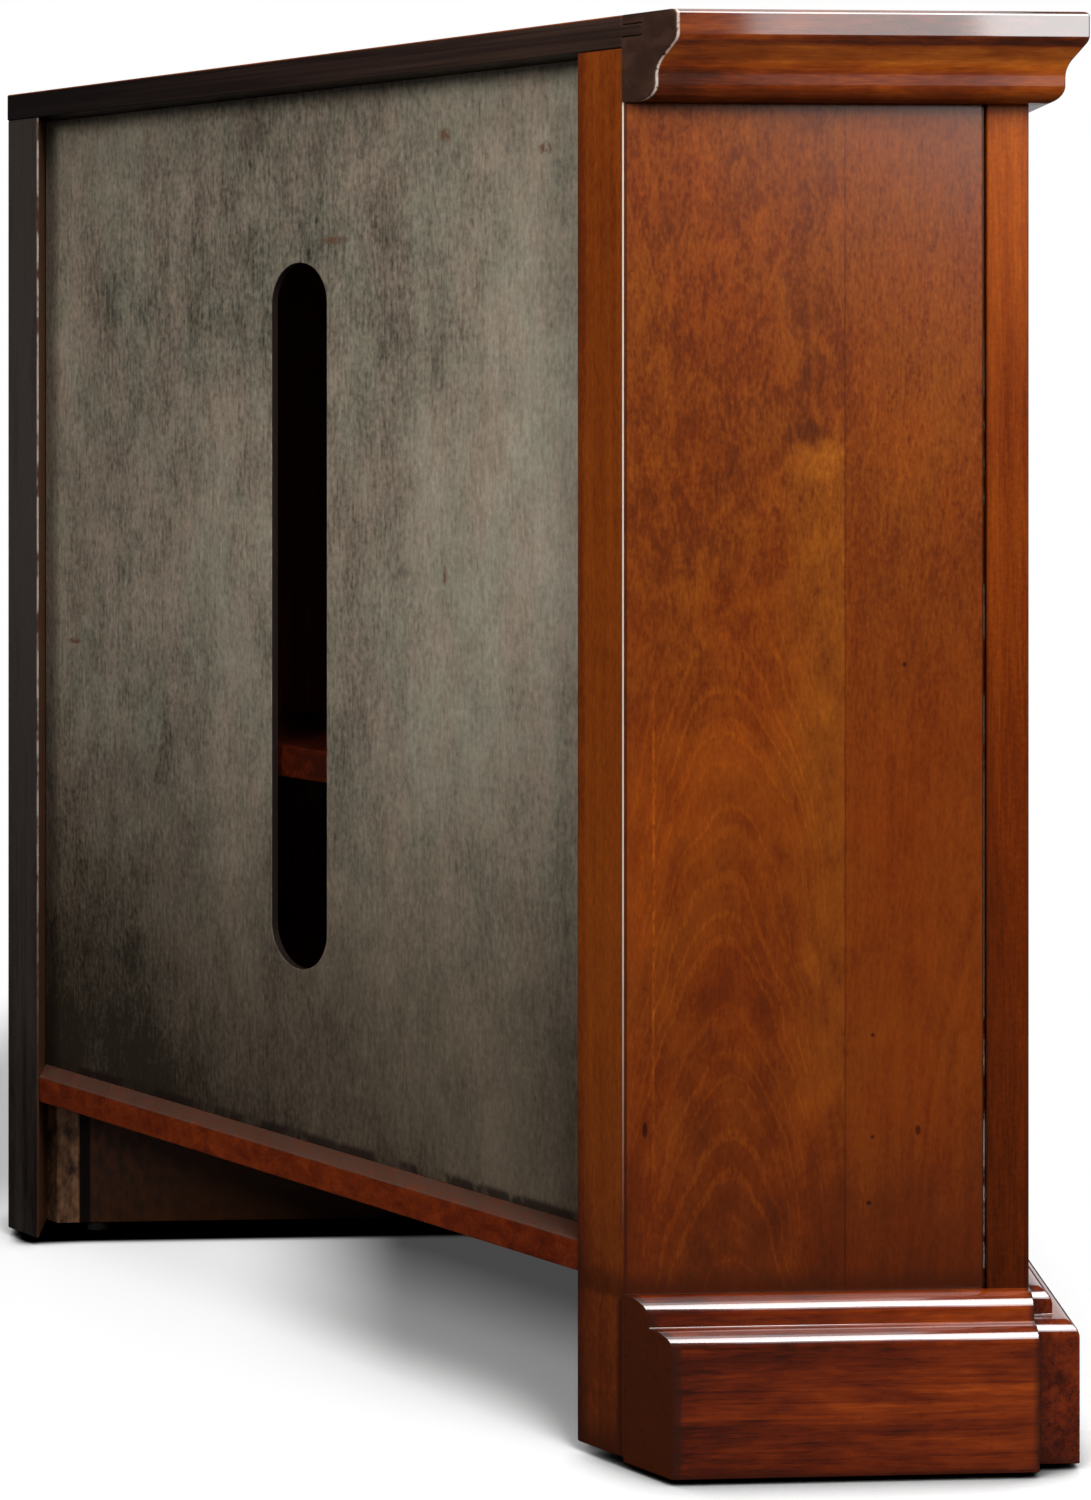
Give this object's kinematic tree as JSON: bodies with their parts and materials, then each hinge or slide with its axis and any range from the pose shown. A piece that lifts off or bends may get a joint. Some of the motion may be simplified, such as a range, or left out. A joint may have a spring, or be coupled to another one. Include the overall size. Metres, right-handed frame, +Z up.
{
  "type": "corner television stand",
  "caption": "Corner television stand with a crown, a stepped base, angled plywood backs with cable slots, framed glass doors to the sides and an open middle bay.",
  "frame": {"origin": "on the floor, under the middle of the whole", "axes": "+X to the right of a person facing the front, +Y to the back, +Z up"},
  "size_m": [1.27, 0.581, 0.711],
  "materials": {
    "cherry_veneer": "satin lacquered cherry veneer",
    "top_veneer": "gloss lacquered cherry veneer",
    "cherry_solid": "satin lacquered cherry",
    "cherry_moulding": "gloss lacquered cherry",
    "carcass_board": "satin lacquered veneer",
    "rear_wood": "dull dark stain",
    "plywood": "dull grey-brown stained plywood",
    "tinted_glass": "clear bronze tint",
    "bronze": "dark antique bronze",
    "steel": "zinc plated",
    "dark_plastic": "matt black"
  },
  "bodies": {
    "carcass": {"back_panel_center": "plywood", "back_panel_left": "plywood", "back_panel_right": "plywood", "back_stile_left": "rear_wood", "back_stile_right": "rear_wood", "base_front": "cherry_moulding", "base_left": "cherry_moulding", "base_right": "cherry_moulding", "bottom_center": "carcass_board", "bottom_left": "carcass_board", "bottom_right": "carcass_board", "crown_front": "cherry_moulding", "crown_left": "cherry_moulding", "crown_right": "cherry_moulding", "door_catch_left": "dark_plastic", "door_catch_right": "dark_plastic", "foot_glides": "dark_plastic", "frame_bottom_rail": "cherry_solid", "frame_mullion_left": "cherry_solid", "frame_mullion_right": "cherry_solid", "frame_stile_left": "cherry_solid", "frame_stile_right": "cherry_solid", "frame_top_rail": "cherry_solid", "hinge_frame_leaves_left": "bronze", "hinge_frame_leaves_right": "bronze", "hinge_pins_left": "bronze", "hinge_pins_right": "bronze", "partition_left": "carcass_board", "partition_right": "carcass_board", "shelf_center": "carcass_board", "shelf_left": "carcass_board", "shelf_pins": "steel", "shelf_right": "carcass_board", "side_panel_left": "cherry_veneer", "side_panel_right": "cherry_veneer", "top_panel": "top_veneer"},
    "door_left": {"door_bottom_rail_left": "cherry_solid", "door_glass_beads_left": "cherry_solid", "door_glass_left": "tinted_glass", "door_hinge_leaves_left": "bronze", "door_hinge_stile_left": "cherry_solid", "door_knob_left": "bronze", "door_knob_screw_left": "steel", "door_lock_stile_left": "cherry_solid", "door_strike_left": "steel", "door_top_rail_left": "cherry_solid"},
    "door_right": {"door_bottom_rail_right": "cherry_solid", "door_glass_beads_right": "cherry_solid", "door_glass_right": "tinted_glass", "door_hinge_leaves_right": "bronze", "door_hinge_stile_right": "cherry_solid", "door_knob_right": "bronze", "door_knob_screw_right": "steel", "door_lock_stile_right": "cherry_solid", "door_strike_right": "steel", "door_top_rail_right": "cherry_solid"}
  },
  "joints": [
    {"name": "left_door_hinge", "type": "hinge", "parent": "carcass", "child": "door_left", "pos_m": [-0.5648, -0.2705, 0.376], "axis": [0, 0, -1], "range_deg": [0, 110]},
    {"name": "right_door_hinge", "type": "hinge", "parent": "carcass", "child": "door_right", "pos_m": [0.5648, -0.2705, 0.376], "axis": [0, 0, 1], "range_deg": [0, 110]}
  ]
}
